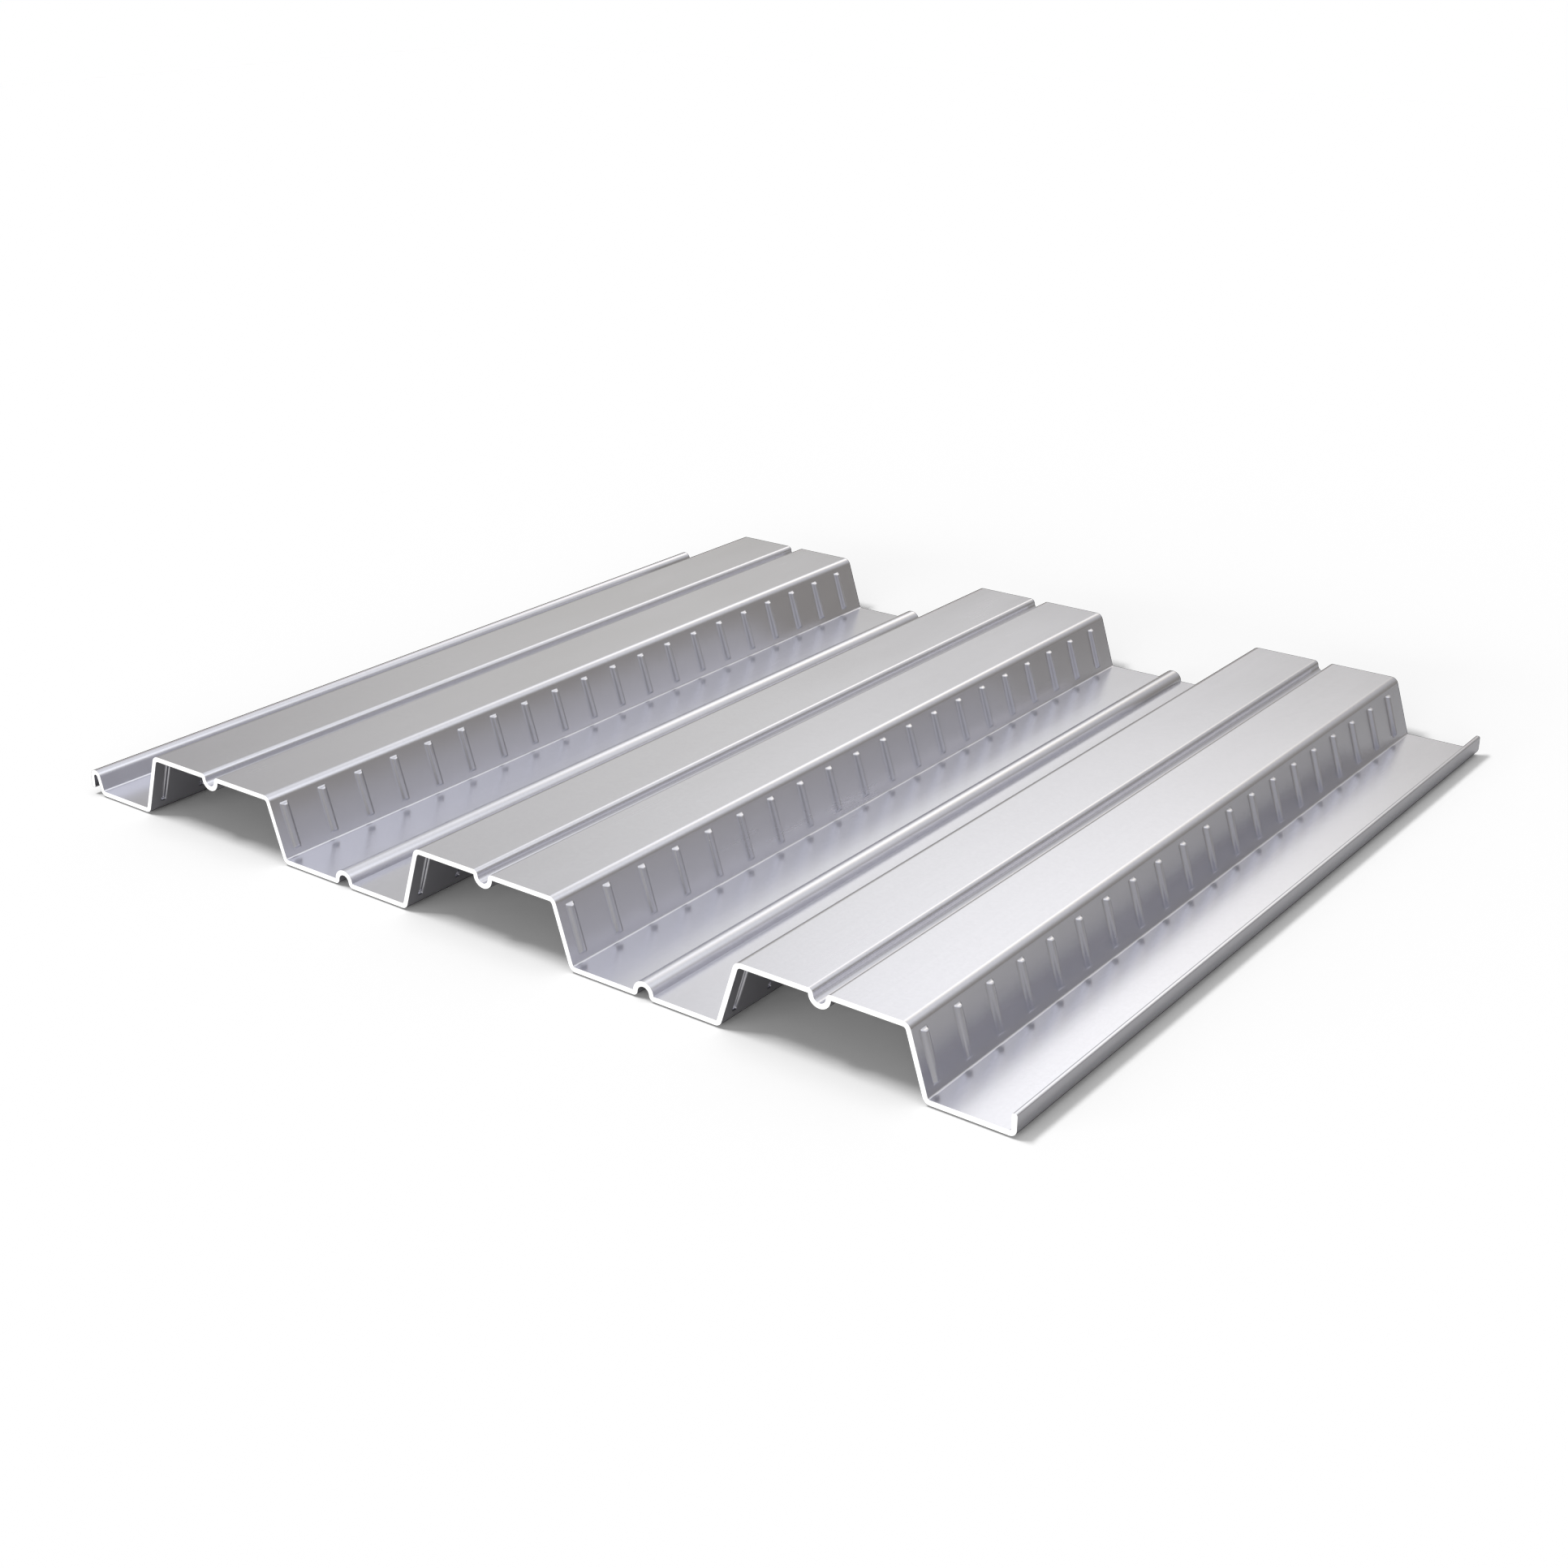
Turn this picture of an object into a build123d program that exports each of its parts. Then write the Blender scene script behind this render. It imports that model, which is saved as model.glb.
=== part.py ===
from build123d import *
from math import atan2, cos, degrees, radians, sin, sqrt, tan
import os

# Composite steel floor deck: one roll-formed sheet with three ribs, stiffened crowns and troughs,
# embossed webs and an interlocking side lap.
#
# Millimetres. X runs across the ribs, Y along them, and Z = 0 is the underside of the troughs. The
# origin is the middle of the sheet's base.

# Sheet
sheet_thickness = 4.0
sheet_length = 800.0

# Ribs. Widths are between the sharp corners of the sheet's middle line, bend radii are inside ones.
rib_count = 3
rib_pitch = 304.8
rib_depth = 54.8
crown_width = 138.4
web_run = 16.0
crown_bend_radius = 3.0
foot_bend_radius = 2.0

# Half-round swages: a groove down each crown and a bead along each whole trough
swage_radius = 7.3
swage_rise = 9.0
swage_entry_radius = 2.2

# Embossments that key the webs to the concrete, pressed outwards
embossment_length = 39.0
embossment_width = 6.8
embossment_top_width = 3.0
embossment_height = 3.4
embossment_pitch = 40.0
embossment_start = 13.0

# Side laps: an upright lip on the right goes into the hook on the next sheet's left
lip_offset = 151.0
lip_height = 17.0
lip_bend_radius = 1.5
slit_edge_radius = 1.5
hook_lean = 15.0
hook_bend_radius = 2.0
lap_clearance = 0.3
hook_floor_clearance = 0.8

# Levels of the middle line, and the slope of a web
half_thickness = sheet_thickness / 2
trough_level = half_thickness
crown_level = rib_depth - half_thickness
web_angle = atan2(crown_level - trough_level, web_run)
foot_offset = crown_width / 2 + web_run


def swage(x, level, way):
    """Half-round swage of the middle line about x, up for way 1 and down for way -1."""
    centre_drop = swage_rise - swage_radius - swage_entry_radius
    reach = swage_radius + swage_entry_radius
    half_width = sqrt(reach**2 - centre_drop**2)
    turn_x = half_width * swage_radius / reach
    turn_z = swage_rise - swage_radius - centre_drop * swage_radius / reach
    start, end = (x - half_width, level), (x + half_width, level)
    left_turn, right_turn = (x - turn_x, level + way * turn_z), (x + turn_x, level + way * turn_z)
    rise = TangentArc(start, left_turn, tangent=(1, 0))
    crest = ThreePointArc(left_turn, (x, level + way * swage_rise), right_turn)
    fall = TangentArc(right_turn, end, tangent=crest % 1)
    return Curve() + [rise, crest, fall], start, end


def web_corners(x, side):
    """Crown and foot corners of one web of the rib at x, side 1 for its right and -1 for its left."""
    return (x + side * crown_width / 2, crown_level), (x + side * foot_offset, trough_level)


def hook_route():
    """Corners and bend radii of the hook, from its free edge to the first trough."""
    lean = radians(hook_lean)
    lip_seat = lip_offset - rib_pitch
    lip_side = lip_seat + half_thickness + lap_clearance
    lip_shoulder = lip_height - slit_edge_radius
    leg_x = lip_side + half_thickness / cos(lean)
    foot_x = leg_x + tan(lean) * (lip_shoulder - trough_level)
    return_x = lip_seat - sheet_thickness - lap_clearance
    fold_z = trough_level + (foot_x - return_x) / tan(lean)
    fold_top = lip_height + lap_clearance + half_thickness
    fold_radius = (fold_z - fold_top) / (1 / tan(lean / 2) - 1)
    free_edge = (return_x, sheet_thickness + hook_floor_clearance)
    corners = [free_edge, (return_x, fold_z), (foot_x, trough_level)]
    return corners, [fold_radius, hook_bend_radius + half_thickness]


def middle_line():
    """The sheet's middle line from the hook's free edge to the lip's, and those two points."""
    crown_bend = crown_bend_radius + half_thickness
    foot_bend = foot_bend_radius + half_thickness
    corners, radii = hook_route()
    hook_edge = corners[0]
    line = Curve()
    for i in range(rib_count):
        x = i * rib_pitch
        groove, groove_start, groove_end = swage(x, crown_level, -1)
        left_crown, left_foot = web_corners(x, -1)
        right_crown, right_foot = web_corners(x, 1)
        corners = corners + [left_foot, left_crown, groove_start]
        line += [FilletPolyline(*corners, radius=radii + [foot_bend, crown_bend]), groove]
        corners, radii = [groove_end, right_crown, right_foot], [crown_bend, foot_bend]
        if i < rib_count - 1:
            bead, bead_start, bead_end = swage(x + rib_pitch / 2, trough_level, 1)
            line += [FilletPolyline(*corners, bead_start, radius=radii), bead]
            corners, radii = [bead_end], []
    lip_x = x + lip_offset
    lip_edge = (lip_x, lip_height)
    corners += [(lip_x, trough_level), lip_edge]
    line += FilletPolyline(*corners, radius=radii + [lip_bend_radius + half_thickness])
    return line, hook_edge, lip_edge


def section():
    """Cross-section of the sheet, centred on X, with its two slit edges rounded."""
    line, hook_edge, lip_edge = middle_line()
    face = trace(line, line_width=sheet_thickness)
    edge_radius = min(slit_edge_radius, 0.45 * sheet_thickness)
    for free_edge in (hook_edge, lip_edge):
        corners = face.vertices().sort_by_distance(free_edge)[:2]
        face = fillet(corners, edge_radius)
    return face


def pressing(face_level):
    """One embossment as a solid that stands on a web face: sloping flanks and half-octagon ends."""
    plan = chamfer(Rectangle(embossment_length, embossment_width).vertices(), embossment_width / (2 + sqrt(2)))
    flank = degrees(atan2((embossment_width - embossment_top_width) / 2, embossment_height))
    return Pos(0, 0, face_level) * extrude(plan, amount=embossment_height, taper=flank)


def web_planes():
    """A plane on the middle of each web: X up the slope, Z out of the rib."""
    planes = []
    for i in range(rib_count):
        for side in (-1, 1):
            crown, foot = web_corners(i * rib_pitch, side)
            middle = ((crown[0] + foot[0]) / 2, 0, (crown[1] + foot[1]) / 2)
            up_slope = (-side * cos(web_angle), 0, sin(web_angle))
            outward = (side * sin(web_angle), 0, cos(web_angle))
            planes.append(Plane(origin=middle, x_dir=up_slope, z_dir=outward))
    return planes


def embossment_places():
    """Where the embossments are along the sheet."""
    count = int((sheet_length - 2 * embossment_start) / embossment_pitch) + 1
    return [embossment_start - sheet_length / 2 + j * embossment_pitch for j in range(count)]


def deck_sheet():
    face = section()
    sheet = extrude(Plane.XZ * face, amount=sheet_length / 2, both=True)
    boss = pressing(half_thickness)
    recess = pressing(-half_thickness)
    places = [Pos(0, y, 0) * plane.location for plane in web_planes() for y in embossment_places()]
    sheet = sheet + [place * boss for place in places]
    sheet = sheet - [place * recess for place in places]
    bounds = sheet.bounding_box()
    return Pos(-bounds.center().X, 0, 0) * sheet


os.makedirs("parts", exist_ok=True)
export_step(deck_sheet(), "parts/deck_sheet.step")
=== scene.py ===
from math import acos, atan, atan2, ceil, cos, hypot, pi, radians, sin, sqrt, tan

import bmesh
import bpy
from mathutils import Matrix, Vector


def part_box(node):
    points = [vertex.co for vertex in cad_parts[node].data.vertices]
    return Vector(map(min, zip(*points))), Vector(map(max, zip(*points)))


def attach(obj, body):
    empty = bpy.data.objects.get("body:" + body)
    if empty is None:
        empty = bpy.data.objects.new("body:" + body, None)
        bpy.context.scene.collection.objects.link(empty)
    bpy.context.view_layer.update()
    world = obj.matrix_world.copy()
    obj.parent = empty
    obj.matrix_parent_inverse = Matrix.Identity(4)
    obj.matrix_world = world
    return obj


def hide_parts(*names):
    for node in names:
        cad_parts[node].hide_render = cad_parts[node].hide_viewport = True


# Steel floor deck: one rolled sheet, in metres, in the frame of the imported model. The sheet's two faces
# are rolled as strips one embossment pitch long, closed at the slit edges, repeated along the sheet and
# capped at the cut ends.

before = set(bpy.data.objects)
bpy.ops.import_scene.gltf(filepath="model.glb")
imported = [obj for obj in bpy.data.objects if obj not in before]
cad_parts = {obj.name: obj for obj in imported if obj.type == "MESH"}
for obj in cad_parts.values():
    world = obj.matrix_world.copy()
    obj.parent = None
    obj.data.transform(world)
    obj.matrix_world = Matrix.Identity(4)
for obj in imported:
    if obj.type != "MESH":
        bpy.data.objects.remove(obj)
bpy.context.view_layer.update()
MM = 0.001

# Sheet and ribs. Widths are between the sharp corners of the middle line, bend radii are inside ones.
sheet_thickness = 4.0 * MM
half_thickness = sheet_thickness / 2
rib_count = 3
rib_pitch = 304.8 * MM
crown_width = 138.4 * MM
web_run = 16.0 * MM
crown_bend_radius = 3.0 * MM
foot_bend_radius = 2.0 * MM

# Swages
swage_radius = 7.3 * MM
swage_rise = 9.0 * MM
swage_entry_radius = 2.2 * MM

# Side laps
lip_offset = 151.0 * MM
lip_height = 17.0 * MM
lip_bend_radius = 1.5 * MM
slit_edge_radius = 1.5 * MM
hook_lean = radians(15.0)
hook_bend_radius = 2.0 * MM
lap_clearance = 0.3 * MM
hook_floor_clearance = 0.8 * MM

# Embossments, round in section with a soft foot and steeper ends. The width takes in the foot. The end share
# is how far a ring goes in at the ends for its way in at the sides, and the foot share is how much of the
# section's two radii the hollow foot has.
embossment_count = 20
embossment_pitch = 40.0 * MM
embossment_start = 13.0 * MM
embossment_length = 40.0 * MM
embossment_half_width = 5.0 * MM
embossment_height = 3.2 * MM
embossment_corner = 1.6 * MM
embossment_border = 0.3 * MM
embossment_end_share = 0.7
embossment_foot_share = 0.4
recess_half_width = 3.4 * MM
recess_height = 3.2 * MM
ring_points = 16
foot_rings = 2
crest_rings = 4

# Finish of the mesh. A vertex or face within border_reach of a border or a cut end belongs to it.
bend_step = radians(10.0)
sharp_edge_angle = radians(40.0)
web_angle_tolerance = radians(1.0)
merge_distance = 0.01 * MM
border_reach = 0.1 * MM

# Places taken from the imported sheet
sheet_low, sheet_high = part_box("deck_sheet")
near_end, far_end = sheet_low.y, sheet_high.y
trough_level = sheet_low.z + half_thickness
crown_level = sheet_high.z - half_thickness
last_rib = sheet_high.x - half_thickness - lip_offset
first_rib = last_rib - (rib_count - 1) * rib_pitch
web_angle = atan2(crown_level - trough_level, web_run)
foot_offset = crown_width / 2 + web_run
first_embossment = near_end + embossment_start


# Modelling helpers

def activate(obj):
    bpy.ops.object.select_all(action="DESELECT")
    bpy.context.view_layer.objects.active = obj
    obj.select_set(True)


def edit(obj):
    activate(obj)
    bpy.ops.object.mode_set(mode="EDIT")
    bpy.ops.mesh.select_all(action="DESELECT")


def leave_edit():
    bpy.ops.object.mode_set(mode="OBJECT")


def pick(obj, kind, test):
    """Select the vertices, edges or faces of the mesh being edited that pass the test, and nothing else."""
    bpy.ops.mesh.select_mode(type={"verts": "VERT", "edges": "EDGE", "faces": "FACE"}[kind])
    bpy.ops.mesh.select_all(action="DESELECT")
    mesh = bmesh.from_edit_mesh(obj.data)
    for element in getattr(mesh, kind):
        element.select_set(test(element))
    mesh.select_flush_mode()
    bmesh.update_edit_mesh(obj.data)


def merge_doubles(obj):
    edit(obj)
    bpy.ops.mesh.select_all(action="SELECT")
    bpy.ops.mesh.remove_doubles(threshold=merge_distance)
    leave_edit()


def join(target, others):
    activate(target)
    for obj in others:
        obj.select_set(True)
    bpy.ops.object.join()
    return target


# The sheet's line, as corners with bend radii on the middle of the thickness

def swage_corners(x, level, way):
    """Four corners of a half-round swage about x, up for way 1 and down for way -1."""
    centre_drop = swage_rise - swage_radius - swage_entry_radius
    reach = swage_radius + swage_entry_radius
    half_width = sqrt(reach**2 - centre_drop**2)
    setback_share = tan(acos(-centre_drop / reach) / 2)
    shoulder = half_width - swage_entry_radius * setback_share
    crest = swage_radius * setback_share
    top = level + way * swage_rise
    return [
        (x - shoulder, level, swage_entry_radius),
        (x - crest, top, swage_radius),
        (x + crest, top, swage_radius),
        (x + shoulder, level, swage_entry_radius),
    ]


def hook_corners():
    """The folded hook, from its free edge to the first trough."""
    lip_seat = first_rib + lip_offset - rib_pitch
    lip_side = lip_seat + half_thickness + lap_clearance
    lip_shoulder = lip_height - slit_edge_radius
    leg_x = lip_side + half_thickness / cos(hook_lean)
    foot_x = leg_x + tan(hook_lean) * (lip_shoulder - trough_level)
    return_x = lip_seat - sheet_thickness - lap_clearance
    fold_z = trough_level + (foot_x - return_x) / tan(hook_lean)
    fold_top = lip_height + lap_clearance + half_thickness
    fold_radius = (fold_z - fold_top) / (1 / tan(hook_lean / 2) - 1)
    return [
        (return_x, sheet_thickness + hook_floor_clearance, 0),
        (return_x, fold_z, fold_radius),
        (foot_x, trough_level, hook_bend_radius + half_thickness),
    ]


def sheet_corners():
    """The whole line from the hook's free edge to the lip's, as (x, z, radius)."""
    crown_bend = crown_bend_radius + half_thickness
    foot_bend = foot_bend_radius + half_thickness
    corners = hook_corners()
    for i in range(rib_count):
        x = first_rib + i * rib_pitch
        corners.append((x - foot_offset, trough_level, foot_bend))
        corners.append((x - crown_width / 2, crown_level, crown_bend))
        corners += swage_corners(x, crown_level, -1)
        corners.append((x + crown_width / 2, crown_level, crown_bend))
        corners.append((x + foot_offset, trough_level, foot_bend))
        if i < rib_count - 1:
            corners += swage_corners(x + rib_pitch / 2, trough_level, 1)
    corners.append((last_rib + lip_offset, trough_level, lip_bend_radius + half_thickness))
    corners.append((last_rib + lip_offset, lip_height, 0))
    return corners


def passes(corners):
    """The line as a rolling mill sees it: each straight run, then the turn after it and its radius."""
    headings = [atan2(b[1] - a[1], b[0] - a[0]) for a, b in zip(corners, corners[1:])]
    turns = [(b - a + pi) % (2 * pi) - pi for a, b in zip(headings, headings[1:])] + [0.0]
    setbacks = [0.0] + [c[2] * tan(abs(t) / 2) for c, t in zip(corners[1:], turns)]
    found = []
    for i, turn in enumerate(turns):
        length = hypot(corners[i + 1][0] - corners[i][0], corners[i + 1][1] - corners[i][1])
        found.append((length - setbacks[i] - setbacks[i + 1], turn, corners[i + 1][2]))
    return found, headings[0]


def is_web(heading):
    return abs(abs(heading) - web_angle) < web_angle_tolerance


def roll_face(side):
    """One pitch of the sheet's face to the left (side 1) or right (side -1) of the line, without the webs. It
    begins and ends in the middle of the slit edges, whose corners are rounded."""
    corners = sheet_corners()
    line, heading = passes(corners)
    edge_flat = half_thickness - slit_edge_radius
    first, last = line[0], line[-1]
    line[0] = (first[0] - slit_edge_radius, first[1], first[2])
    line[-1] = (last[0] - slit_edge_radius, -side * pi / 2, slit_edge_radius - half_thickness)
    place = Vector((corners[0][0], 0.0, corners[0][1]))
    heading += side * pi / 2
    line = [(edge_flat, -side * pi / 2, slit_edge_radius - half_thickness)] + line + [(edge_flat, 0.0, 0.0)]

    bpy.ops.mesh.primitive_plane_add(size=embossment_pitch)
    strip = bpy.context.object
    strip.name = "sheet_face"
    edit(strip)
    pick(strip, "verts", lambda v: v.co.x > 0)
    bpy.ops.mesh.delete(type="VERT")
    bpy.ops.mesh.select_all(action="SELECT")
    bpy.ops.transform.translate(value=place - Vector((-embossment_pitch / 2, 0.0, 0.0)))

    # Extrude the edge along each run and spin it round each bend. A web's run is only stepped over, because
    # its embossed panel fills it.
    for run, turn, radius in line:
        step = Vector((cos(heading), 0.0, sin(heading))) * run
        if is_web(heading) and run > crown_level / 2:
            bpy.ops.mesh.duplicate_move(TRANSFORM_OT_translate={"value": step})
        elif run > merge_distance:
            bpy.ops.mesh.extrude_region_move(TRANSFORM_OT_translate={"value": step})
        place += step
        if turn:
            way = 1 if turn > 0 else -1
            face_radius = radius - side * way * half_thickness
            inward = Vector((-sin(heading), 0.0, cos(heading))) * way
            centre = place + inward * face_radius
            segments = max(2, ceil(abs(turn) / bend_step))
            bpy.ops.mesh.spin(steps=segments, angle=turn, center=centre, axis=(0.0, 1.0, 0.0))
            heading += turn
            outward = Vector((-sin(heading), 0.0, cos(heading))) * -way
            place = centre + outward * face_radius
    leave_edit()
    return strip


# Embossed webs

def emboss_section(half_width, height):
    """Ways in from the outline and heights of an embossment's rings: a flat border that keeps the web's
    shading flat, a hollow foot, then a round crest."""
    slope = 2 * atan(height / half_width)
    reach = half_width / sin(slope)
    foot_radius, crest_radius = reach * embossment_foot_share, reach * (1 - embossment_foot_share)
    rings = [(embossment_border, 0.0)]
    for k in range(1, foot_rings + 1):
        a = slope * k / foot_rings
        rings.append((foot_radius * sin(a), foot_radius * (1 - cos(a))))
    for k in range(crest_rings - 1, -1, -1):
        a = slope * (k + 0.5) / crest_rings
        rings.append((half_width - crest_radius * sin(a), height - crest_radius * (1 - cos(a))))
    return rings


def web_panel(half_width, height):
    """One pitch of a web's flat, lying in XY with X up the slope, with its embossment pressed towards +Z."""
    crown_setback = (crown_bend_radius + half_thickness) * tan(web_angle / 2)
    foot_setback = (foot_bend_radius + half_thickness) * tan(web_angle / 2)
    slope_length = hypot(web_run, crown_level - trough_level)
    panel_low, panel_high = foot_setback - slope_length / 2, slope_length / 2 - crown_setback
    bpy.ops.mesh.primitive_plane_add(size=1.0)
    panel = bpy.context.object
    panel.name = "web_panel"
    edit(panel)
    bpy.ops.mesh.select_all(action="SELECT")
    scale = (panel_high - panel_low, embossment_pitch, 1.0)
    bpy.ops.transform.resize(value=scale, center_override=(0.0, 0.0, 0.0))
    bpy.ops.transform.translate(value=((panel_high + panel_low) / 2, 0.0, 0.0))
    bpy.ops.mesh.delete(type="ONLY_FACE")

    # The embossment's outline: a circle whose halves are moved apart, to the embossment's length and width
    half_step = pi / ring_points
    bpy.ops.mesh.primitive_circle_add(vertices=ring_points, radius=embossment_corner, fill_type="NGON")
    bpy.ops.transform.rotate(value=half_step, orient_axis="Z", center_override=(0.0, 0.0, 0.0))
    half_length = embossment_length / 2
    for end in (-1, 1):
        for way, half_size in ((Vector((end, 0, 0)), half_length), (Vector((0, end, 0)), half_width)):
            pick(panel, "verts", lambda v: v.co @ way > 0 and abs(v.co.y) < embossment_pitch / 4)
            bpy.ops.transform.translate(value=way * (half_size - embossment_corner))

    # The flat around it, then the rings pressed up from it
    pick(panel, "edges", lambda e: len(e.link_faces) < 2)
    bpy.ops.mesh.fill(use_beauty=True)
    pick(panel, "faces", lambda f: len(f.verts) == ring_points)
    length, width, rise = half_length, half_width, 0.0
    for ring_inset, ring_rise in emboss_section(half_width, height):
        ring_length, ring_width = half_length - ring_inset * embossment_end_share, half_width - ring_inset
        bpy.ops.mesh.extrude_region_move(TRANSFORM_OT_translate={"value": (0.0, 0.0, ring_rise - rise)})
        scale = (ring_length / length, ring_width / width, 1.0)
        bpy.ops.transform.resize(value=scale, center_override=(0.0, 0.0, 0.0))
        length, width, rise = ring_length, ring_width, ring_rise
    leave_edit()
    return panel


def place_panels(panel, side):
    """Copies of the panel on the same face of every web, as separate meshes."""
    copies = []
    for i in range(rib_count):
        for way in (-1, 1):
            up_slope = Vector((-way * cos(web_angle), 0.0, sin(web_angle)))
            outward = Vector((way * sin(web_angle), 0.0, cos(web_angle)))
            along = outward.cross(up_slope)
            x = first_rib + i * rib_pitch + way * (crown_width / 2 + foot_offset) / 2
            middle = Vector((x, 0.0, (crown_level + trough_level) / 2)) + outward * half_thickness * side
            turn = Matrix((up_slope, along, outward)).transposed().to_4x4()
            activate(panel)
            bpy.ops.object.duplicate()
            copy = bpy.context.object
            copy.matrix_world = Matrix.Translation(middle) @ turn
            bpy.ops.object.transform_apply(location=True, rotation=True, scale=True)
            copies.append(copy)
    activate(panel)
    bpy.ops.object.delete()
    return copies


# The whole sheet

def repeat_along(obj):
    """Repeat one pitch along the sheet, then bring its two borders to the cut ends."""
    activate(obj)
    bpy.ops.object.modifier_add(type="ARRAY")
    array = obj.modifiers[-1]
    array.count = embossment_count
    array.use_relative_offset = False
    array.use_constant_offset = True
    array.constant_offset_displace = (0.0, embossment_pitch, 0.0)
    array.use_merge_vertices = True
    array.merge_threshold = merge_distance
    bpy.ops.object.modifier_apply(modifier=array.name)
    edit(obj)
    bpy.ops.mesh.select_all(action="SELECT")
    bpy.ops.transform.translate(value=(0.0, first_embossment, 0.0))
    half_pitch = embossment_pitch / 2
    near_border = first_embossment - half_pitch
    far_border = first_embossment + embossment_pitch * embossment_count - half_pitch
    for border, end in ((near_border, near_end), (far_border, far_end)):
        pick(obj, "verts", lambda v: abs(v.co.y - border) < border_reach)
        bpy.ops.transform.translate(value=(0.0, end - border, 0.0))
    leave_edit()


def cap_ends(obj):
    """Close the two cut ends, each with one flat face."""
    for end in (near_end, far_end):
        edit(obj)
        pick(obj, "edges", lambda e: e.is_boundary and all(abs(v.co.y - end) < border_reach for v in e.verts))
        bpy.ops.mesh.edge_face_add()
        leave_edit()


def deck_sheet():
    """Both faces of the sheet as one shell, with embossments on one and their recesses on the other."""
    faces = []
    for side, half_width, height in (
        (1, embossment_half_width, embossment_height),
        (-1, recess_half_width, recess_height),
    ):
        strip = roll_face(side)
        faces.append(join(strip, place_panels(web_panel(half_width, height), side)))
    sheet = join(faces[0], faces[1:])
    sheet.name = sheet.data.name = "rolled_sheet"
    merge_doubles(sheet)
    repeat_along(sheet)
    merge_doubles(sheet)
    cap_ends(sheet)
    edit(sheet)
    bpy.ops.mesh.select_all(action="SELECT")
    bpy.ops.mesh.normals_make_consistent(inside=False)
    leave_edit()
    activate(sheet)
    bpy.ops.object.shade_smooth_by_angle(angle=sharp_edge_angle)
    bpy.ops.object.modifier_add(type="WEIGHTED_NORMAL")
    sheet.modifiers[-1].keep_sharp = True
    bpy.ops.object.modifier_apply(modifier=sheet.modifiers[-1].name)
    return sheet


sheet = deck_sheet()
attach(sheet, "root")
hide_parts("deck_sheet")


# Materials

def linear(hex_colour):
    """An sRGB hex colour as linear RGBA."""
    values = [int(hex_colour[i:i + 2], 16) / 255 for i in (1, 3, 5)]
    return [v / 12.92 if v <= 0.04045 else ((v + 0.055) / 1.055) ** 2.4 for v in values] + [1.0]


def new_material(name):
    """A material with its tree emptied, ready for add_node."""
    material = bpy.data.materials.new(name)
    material.use_nodes = True
    material.node_tree.nodes.clear()
    return material, material.node_tree


def add_node(tree, kind, inputs=(), **settings):
    """Add a node with its settings. Inputs are (socket, value) pairs, and a value may be a node's output."""
    node = tree.nodes.new(kind)
    for name, value in settings.items():
        setattr(node, name, value)
    for socket, value in inputs:
        if isinstance(value, bpy.types.NodeSocket):
            tree.links.new(value, node.inputs[socket])
        else:
            node.inputs[socket].default_value = value
    return node


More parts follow.
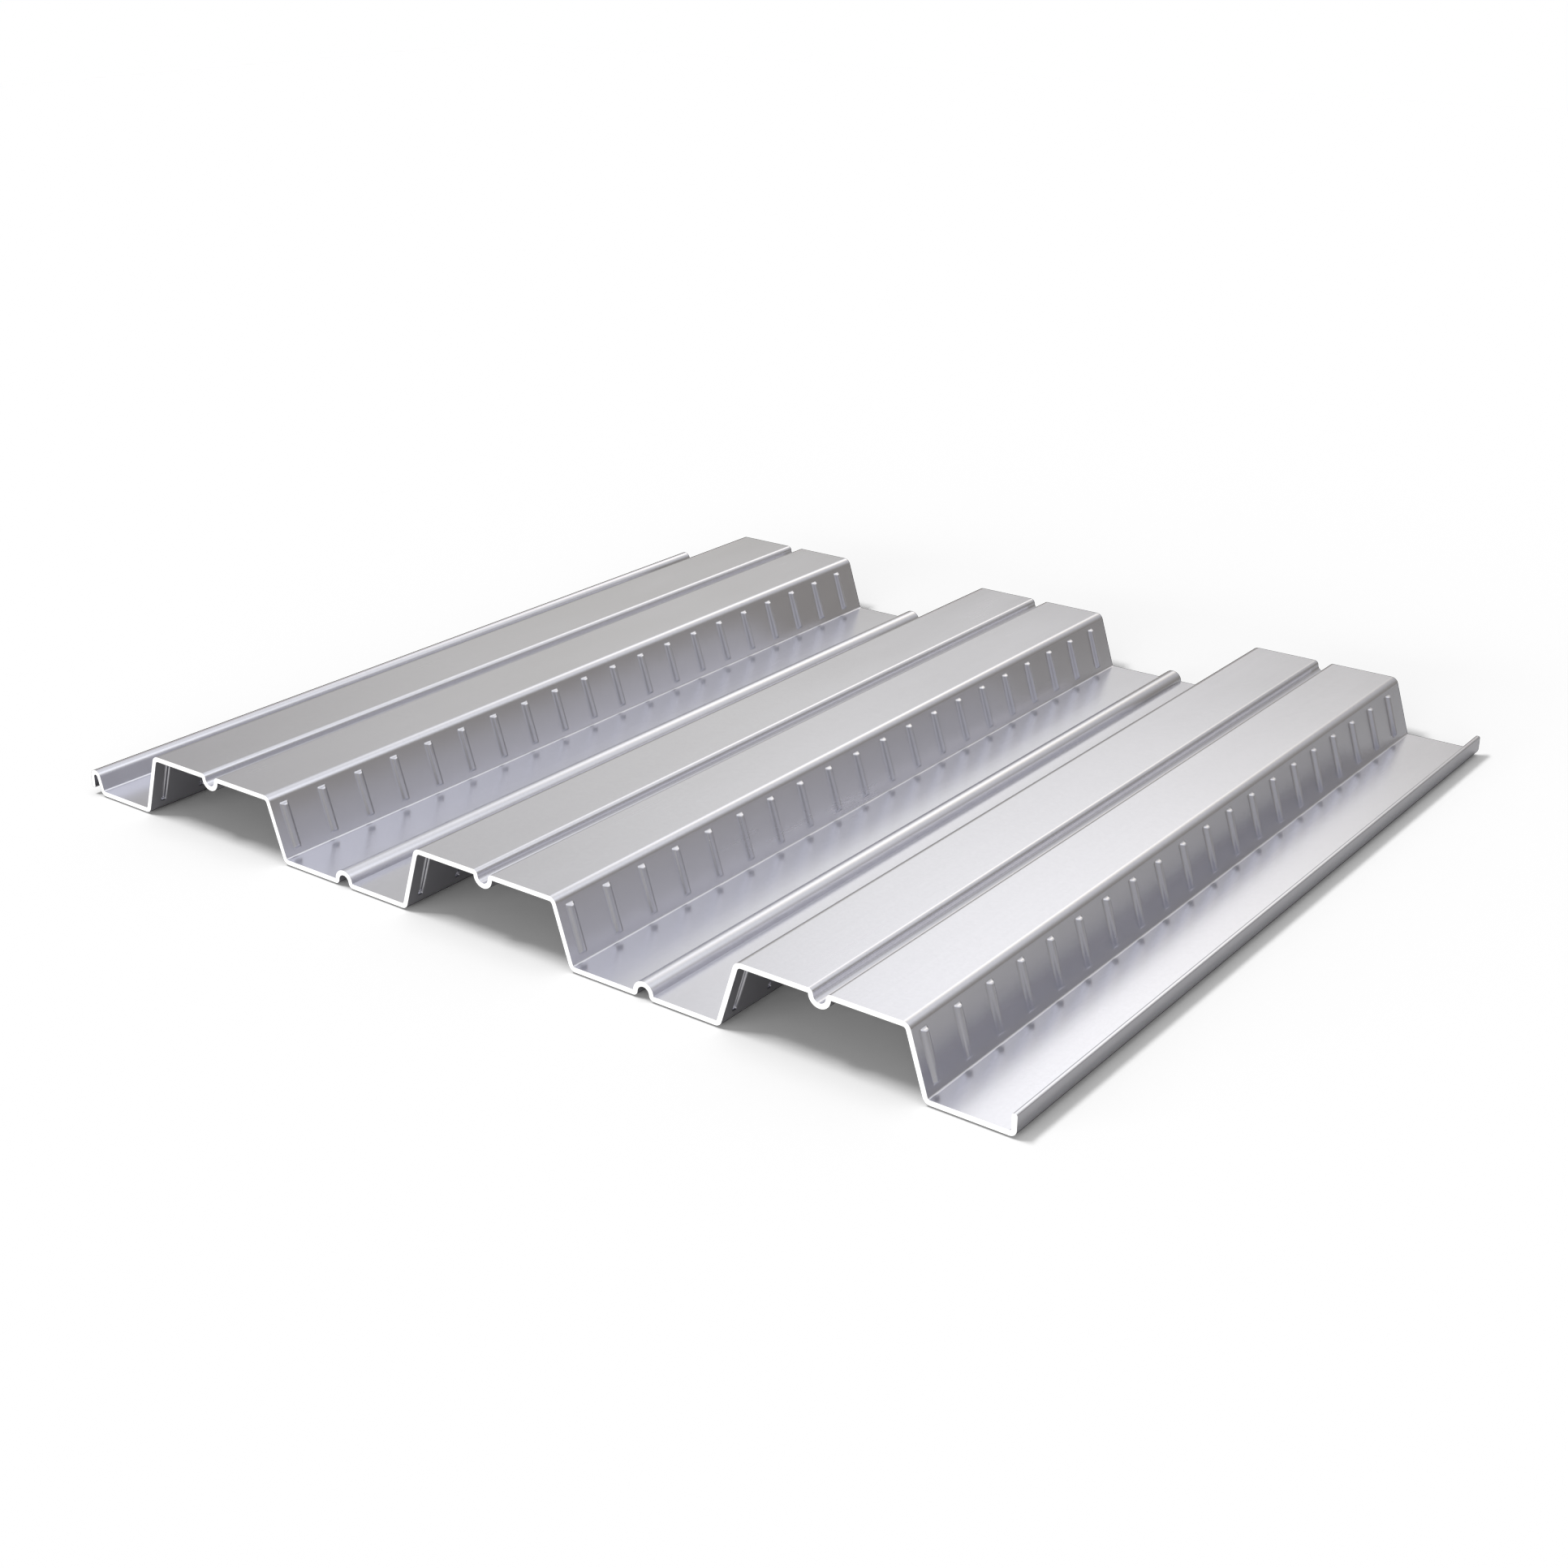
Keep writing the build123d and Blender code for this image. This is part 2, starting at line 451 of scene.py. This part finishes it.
def hot_dip_galvanised_steel():
    """Coil steel with a hot-dip zinc coat, passed through smooth rolls and rolled into shape: a satin metal
    of one faintly blue grey, with a fine grain along the sheet and soft clouds where the coat is duller."""
    material, tree = new_material("hot_dip_galvanised_steel")
    place = add_node(tree, "ShaderNodeTexCoord").outputs["Object"]

    # Grain of the rolls, drawn coarser than the real 0.2 mm
    grain_spacing = 2.0 * MM
    grain_length = 400.0 * MM
    grain_place = add_node(tree, "ShaderNodeMapping", [
        ("Vector", place), ("Scale", (1 / grain_spacing, 1 / grain_length, 1 / grain_spacing))])
    grain = add_node(tree, "ShaderNodeTexNoise", [
        ("Vector", grain_place.outputs["Vector"]), ("Scale", 1.0), ("Detail", 1.0)])

    # Uneven coat, in clouds drawn out along the coil
    cloud_width = 60.0 * MM
    cloud_length = 200.0 * MM
    cloud_place = add_node(tree, "ShaderNodeMapping", [
        ("Vector", place), ("Scale", (1 / cloud_width, 1 / cloud_length, 1 / cloud_width))])
    clouds = add_node(tree, "ShaderNodeTexNoise", [
        ("Vector", cloud_place.outputs["Vector"]), ("Scale", 1.0), ("Detail", 3.0)])

    # Minimised spangle, in crystals that hardly show
    crystal_size = 2.0 * MM
    crystal_place = add_node(tree, "ShaderNodeVectorMath", [
        (0, place), ("Scale", 1 / crystal_size)], operation="SCALE")
    crystals = add_node(tree, "ShaderNodeTexVoronoi", [
        ("Vector", crystal_place.outputs["Vector"]), ("Scale", 1.0)])
    crystal = add_node(tree, "ShaderNodeSeparateColor", [("Color", crystals.outputs["Color"])])

    # The crystals and clouds change the shade, the clouds and the grain the gloss, and the grain the relief
    crystal_share = 0.3
    grain_share = 0.5
    grain_depth = 0.01 * MM
    shade = add_node(tree, "ShaderNodeMath", [
        (0, crystal.outputs["Red"]), (1, crystal_share), (2, clouds.outputs["Fac"])],
        operation="MULTIPLY_ADD")
    colour = add_node(tree, "ShaderNodeMix", [
        ("Factor", shade.outputs["Value"]), ("A", linear("#c7c7ce")), ("B", linear("#cfcfd6"))],
        data_type="RGBA")
    wear = add_node(tree, "ShaderNodeMath", [
        (0, grain.outputs["Fac"]), (1, grain_share), (2, clouds.outputs["Fac"])],
        operation="MULTIPLY_ADD")
    roughness = add_node(tree, "ShaderNodeMapRange", [
        ("Value", wear.outputs["Value"]), ("From Min", 0.4), ("From Max", 1.1),
        ("To Min", 0.22), ("To Max", 0.28)])
    bump = add_node(tree, "ShaderNodeBump", [
        ("Height", grain.outputs["Fac"]), ("Strength", 0.1), ("Distance", grain_depth)])
    metal = add_node(tree, "ShaderNodeBsdfPrincipled", [
        ("Base Color", colour.outputs["Result"]), ("Metallic", 1.0),
        ("Roughness", roughness.outputs["Result"]), ("Normal", bump.outputs["Normal"])])
    add_node(tree, "ShaderNodeOutputMaterial", [("Surface", metal.outputs["BSDF"])])
    return material


def sheared_steel_edge():
    """Edge of steel sheet where a shear cut it to length: bare bright steel, torn matt, so it spreads the
    light as a pale surface does and mirrors nothing."""
    material, tree = new_material("sheared_steel_edge")
    place = add_node(tree, "ShaderNodeTexCoord").outputs["Object"]

    # Tear marks that the blade leaves
    tear_spacing = 0.4 * MM
    tear_place = add_node(tree, "ShaderNodeVectorMath", [
        (0, place), ("Scale", 1 / tear_spacing)], operation="SCALE")
    tears = add_node(tree, "ShaderNodeTexNoise", [
        ("Vector", tear_place.outputs["Vector"]), ("Scale", 1.0), ("Detail", 2.0)])
    colour = add_node(tree, "ShaderNodeMix", [
        ("Factor", tears.outputs["Fac"]), ("A", linear("#ececec")), ("B", linear("#fafafa"))],
        data_type="RGBA")
    metal = add_node(tree, "ShaderNodeBsdfPrincipled", [
        ("Base Color", colour.outputs["Result"]), ("Metallic", 0.0), ("Roughness", 0.6),
        ("Specular IOR Level", 0.5)])
    add_node(tree, "ShaderNodeOutputMaterial", [("Surface", metal.outputs["BSDF"])])
    return material


# The steel all over, and the torn edge on the two cut ends, which lie as far before the origin as behind it
sheet.data.materials.append(hot_dip_galvanised_steel())
sheet.data.materials.append(sheared_steel_edge())
edit(sheet)
pick(sheet, "faces", lambda f: abs(abs(f.calc_center_median().y) - far_end) < border_reach)
sheet.active_material_index = 1
bpy.ops.object.material_slot_assign()
leave_edit()


# Studio. Directions are an azimuth from +Y towards +X and an elevation.

def towards(azimuth, elevation):
    """The direction of an azimuth and an elevation in degrees."""
    a, e = radians(azimuth), radians(elevation)
    return Vector((cos(e) * sin(a), cos(e) * cos(a), sin(e)))


def softbox(name, azimuth, elevation, width, height, level, distance=4.0):
    """Area lamp for the floor and the matt edges, with its angles in degrees and its size and distance in
    metres. The level is the brightness of its face, where white is 1."""
    lamp = bpy.data.lights.new(name, "AREA")
    lamp.shape = "RECTANGLE"
    lamp.size, lamp.size_y = width, height
    lamp.energy = level * pi * width * height
    box = bpy.data.objects.new(name, lamp)
    bpy.context.scene.collection.objects.link(box)
    way = towards(azimuth, elevation)
    box.location = way * distance
    box.rotation_euler = way.to_track_quat("Z", "Y").to_euler()
    box.visible_camera = box.visible_glossy = False


def tent_cloth():
    """Cloth of a light tent lit from outside, which is what the metal mirrors: warm grey near the floor,
    paler above, and brighter where lamps stand behind the cloth."""
    material, tree = new_material("tent_cloth")
    place = add_node(tree, "ShaderNodeTexCoord").outputs["Object"]
    way = add_node(tree, "ShaderNodeVectorMath", [(0, place)], operation="NORMALIZE").outputs["Vector"]
    height = add_node(tree, "ShaderNodeSeparateXYZ", [("Vector", way)]).outputs["Z"]
    rise = add_node(tree, "ShaderNodeMath", [(0, height)], operation="ARCSINE").outputs["Value"]
    sky = add_node(tree, "ShaderNodeMapRange", [
        ("Value", rise), ("From Min", radians(5)), ("From Max", radians(58))],
        interpolation_type="SMOOTHSTEP")
    light = add_node(tree, "ShaderNodeVectorMath", [
        (0, sky.outputs["Result"]), (1, (0.73, 0.76, 0.81)), (2, (0.335, 0.315, 0.282))],
        operation="MULTIPLY_ADD")

    # Lamps behind the cloth: azimuth, elevation, half-widths of the bright core and of the glow, and colour
    back_lamp = (-24, 33, 4, 20, (0.96, 0.96, 0.93))
    warm_lamp_above_it = (-10, 38, 4, 16, (0.50, 0.42, 0.27))
    low_lamp_beside_it = (-44, 20, 3, 17, (0.29, 0.29, 0.26))
    cool_lamp_low_at_the_right = (120, 0, 10, 45, (0.13, 0.15, 0.21))
    high_lamp_at_the_right = (56, 52, 5, 28, (0.82, 0.84, 0.85))
    for azimuth, elevation, core, spread, colour in (
        back_lamp, warm_lamp_above_it, low_lamp_beside_it, cool_lamp_low_at_the_right, high_lamp_at_the_right,
    ):
        aim = add_node(tree, "ShaderNodeVectorMath", [
            (0, way), (1, towards(azimuth, elevation))], operation="DOT_PRODUCT")
        angle = add_node(tree, "ShaderNodeMath", [(0, aim.outputs["Value"])], operation="ARCCOSINE")
        glow = add_node(tree, "ShaderNodeMapRange", [
            ("Value", angle.outputs["Value"]), ("From Min", radians(spread)), ("From Max", radians(core))],
            interpolation_type="SMOOTHSTEP")
        light = add_node(tree, "ShaderNodeVectorMath", [
            (0, glow.outputs["Result"]), (1, colour), (2, light.outputs["Vector"])], operation="MULTIPLY_ADD")
    cloth = add_node(tree, "ShaderNodeEmission", [("Color", light.outputs["Vector"])])
    add_node(tree, "ShaderNodeOutputMaterial", [("Surface", cloth.outputs["Emission"])])
    material.cycles.emission_sampling = "NONE"
    return material


def studio_world():
    """White behind all that the camera sees, and a plain soft light for matt surfaces."""
    world = bpy.data.worlds.new("studio")
    bpy.context.scene.world = world
    world.use_nodes = True
    tree = world.node_tree
    tree.nodes.clear()
    rays = add_node(tree, "ShaderNodeLightPath")
    seen = add_node(tree, "ShaderNodeMath", [
        (0, rays.outputs["Is Camera Ray"]), (1, rays.outputs["Is Glossy Ray"])], operation="MAXIMUM")
    seen = add_node(tree, "ShaderNodeMath", [
        (0, seen.outputs["Value"]), (1, rays.outputs["Is Transmission Ray"])], operation="MAXIMUM")
    soft = add_node(tree, "ShaderNodeBackground", [("Color", (1, 1, 1, 1)), ("Strength", 0.35)])
    white = add_node(tree, "ShaderNodeBackground", [("Color", (1, 1, 1, 1)), ("Strength", 1.0)])
    mix = add_node(tree, "ShaderNodeMixShader", [
        ("Fac", seen.outputs["Value"]), (1, soft.outputs["Background"]), (2, white.outputs["Background"])])
    add_node(tree, "ShaderNodeOutputWorld", [("Surface", mix.outputs["Shader"])])


# The floor shows only the sheet's shadow. It lies a little below the sheet, so that the shadow draws a thin
# dark line under its edges.
floor_size = 12.0
floor_gap = 1.5 * MM
bpy.ops.mesh.primitive_plane_add(size=floor_size)
floor = bpy.context.object
floor.name = "floor"
floor.location.z = -floor_gap
floor.is_shadow_catcher = True

# Uncoated paper for the floor, plain and matt, which the metal mirrors as a pale grey
paper, paper_tree = new_material("grey_paper")
paper_shader = add_node(paper_tree, "ShaderNodeBsdfDiffuse", [("Color", linear("#b4b3b1"))])
add_node(paper_tree, "ShaderNodeOutputMaterial", [("Surface", paper_shader.outputs["BSDF"])])
floor.data.materials.append(paper)

# The tent shows only in reflections, and lights nothing else
tent_radius = 9.0
bpy.ops.mesh.primitive_uv_sphere_add(segments=48, ring_count=24, radius=tent_radius)
tent = bpy.context.object
tent.name = "light_tent"
tent.data.materials.append(tent_cloth())
tent.visible_camera = tent.visible_diffuse = tent.visible_shadow = False
tent.visible_transmission = tent.visible_volume_scatter = False

# A small key lamp high at the left gives the shadows, a wide one overhead softens them, and a low one in
# front lights the cut ends
softbox("key", azimuth=-123, elevation=63, width=1.5, height=0.6, level=42.0)
softbox("top", azimuth=0, elevation=90, width=3.6, height=3.6, level=0.8)
softbox("front_fill", azimuth=175, elevation=10, width=6.5, height=1.1, level=7.0)
studio_world()

# Camera at the photograph's place, on a 50 mm lens. It looks to the back left, down on the sheet, and is
# a tenth of a degree out of level.
camera_place = (1.0433, -1.4279, 0.7370)
camera_turn, camera_dip, camera_roll = radians(36.63), radians(22.93), radians(0.11)
camera_data = bpy.data.cameras.new("camera")
camera_data.lens = 50.0
camera_data.sensor_width = 36.0
camera = bpy.data.objects.new("camera", camera_data)
bpy.context.scene.collection.objects.link(camera)
bpy.context.scene.camera = camera
camera.matrix_world = (
    Matrix.Translation(camera_place)
    @ Matrix.Rotation(camera_turn, 4, "Z")
    @ Matrix.Rotation(pi / 2 - camera_dip, 4, "X")
    @ Matrix.Rotation(camera_roll, 4, "Z")
)

bpy.context.scene.view_settings.view_transform = "Standard"
